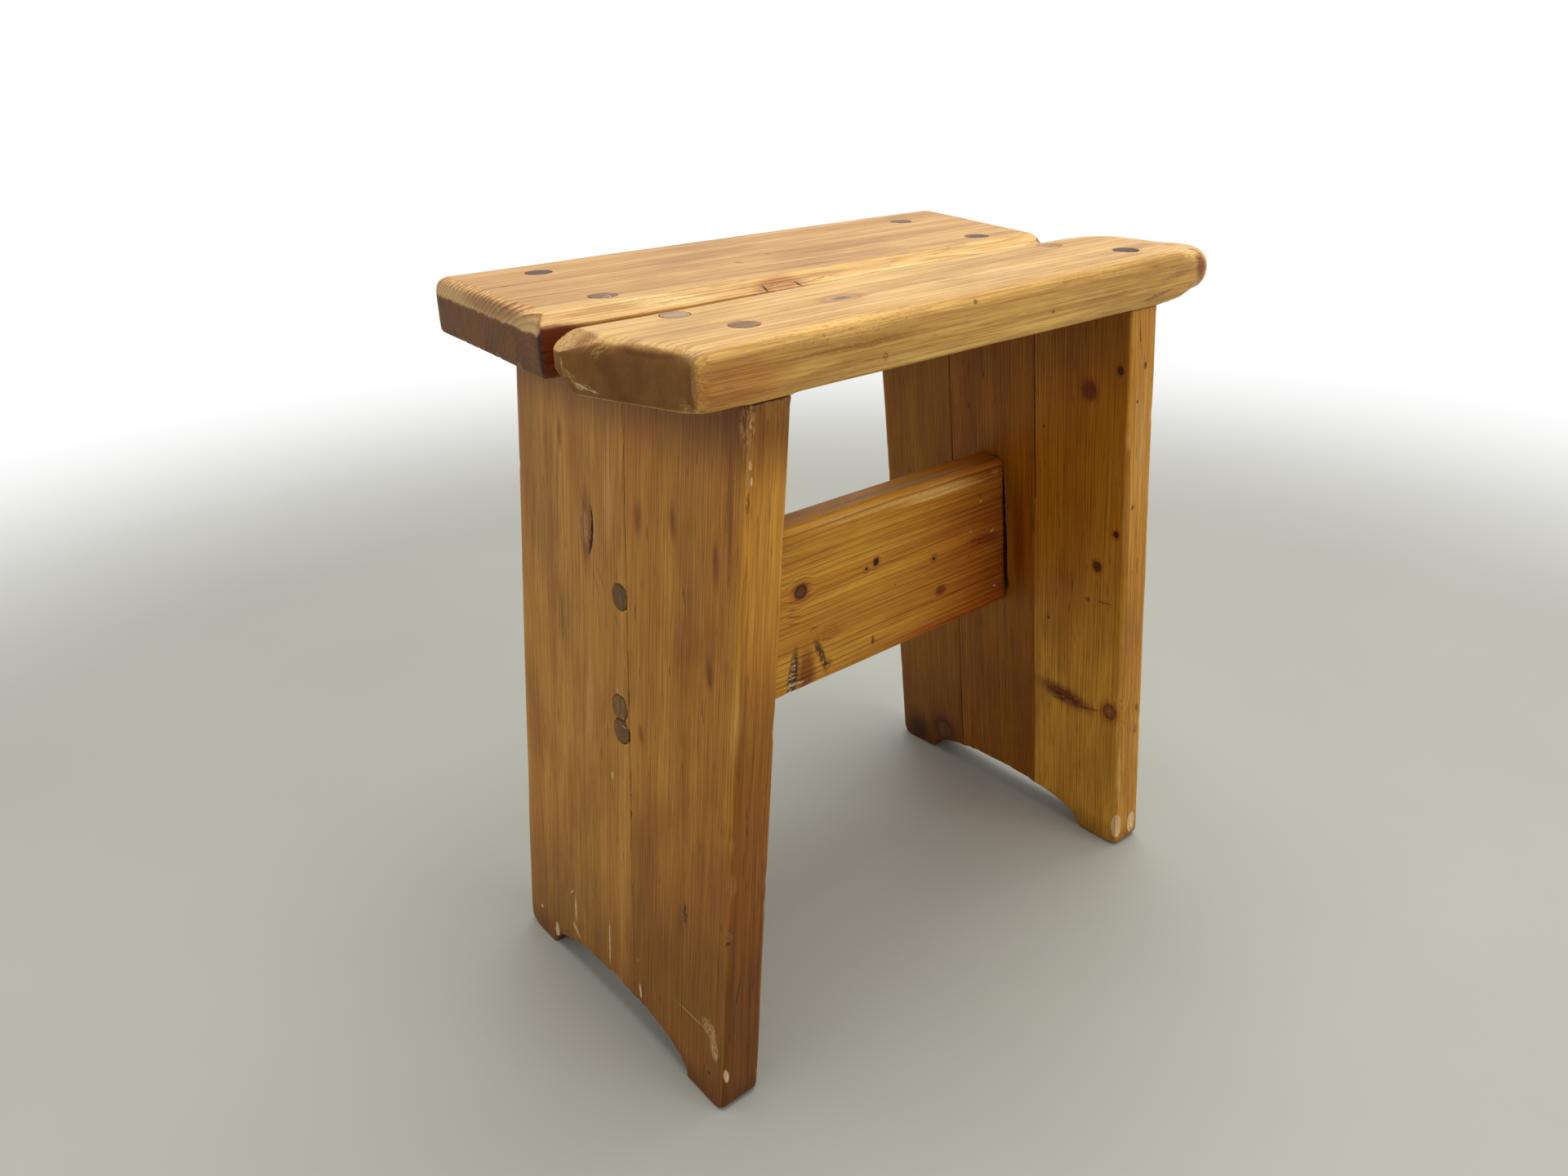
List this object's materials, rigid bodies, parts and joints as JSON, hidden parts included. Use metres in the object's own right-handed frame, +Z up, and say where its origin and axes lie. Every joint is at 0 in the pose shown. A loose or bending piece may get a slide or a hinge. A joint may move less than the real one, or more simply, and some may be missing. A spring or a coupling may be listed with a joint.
{
  "type": "stool",
  "caption": "Low pine stool: a seat of two gapped planks on splayed side boards with arched feet, tied by a stretcher, with plugged screws.",
  "frame": {"origin": "on the floor, under the middle of the whole stool's length and depth", "axes": "+X along the seat towards its rounded end, +Y towards the wider plank at the rear, +Z up"},
  "size_m": [0.433, 0.2546, 0.44],
  "materials": {
    "plank": "waxed, worn",
    "board": "waxed, worn",
    "stretcher": "waxed, worn",
    "plug": "waxed, greyed",
    "screw": "plain"
  },
  "bodies": {
    "root": {"seat_plank_rear": "plank", "seat_plank_front": "plank", "left_board_front_stave": "board", "left_board_rear_stave": "board", "right_board_front_stave": "board", "right_board_middle_stave": "board", "right_board_rear_stave": "board", "stretcher": "stretcher", "left_seat_screw_1": "screw", "left_seat_screw_2": "screw", "left_seat_screw_3": "screw", "left_seat_screw_4": "screw", "right_seat_screw_1": "screw", "right_seat_screw_2": "screw", "right_seat_screw_3": "screw", "right_seat_screw_4": "screw", "left_seat_plug_1": "plug", "left_seat_plug_2": "plug", "left_seat_plug_3": "plug", "left_seat_plug_4": "plug", "right_seat_plug_1": "plug", "right_seat_plug_2": "plug", "right_seat_plug_3": "plug", "right_seat_plug_4": "plug", "left_stretcher_screw_1": "screw", "left_stretcher_screw_2": "screw", "right_stretcher_screw_1": "screw", "right_stretcher_screw_2": "screw", "left_stretcher_plug_1": "plug", "left_stretcher_plug_2": "plug", "right_stretcher_plug_1": "plug", "right_stretcher_plug_2": "plug", "left_board_filler_plug": "plug"}
  },
  "joints": []
}
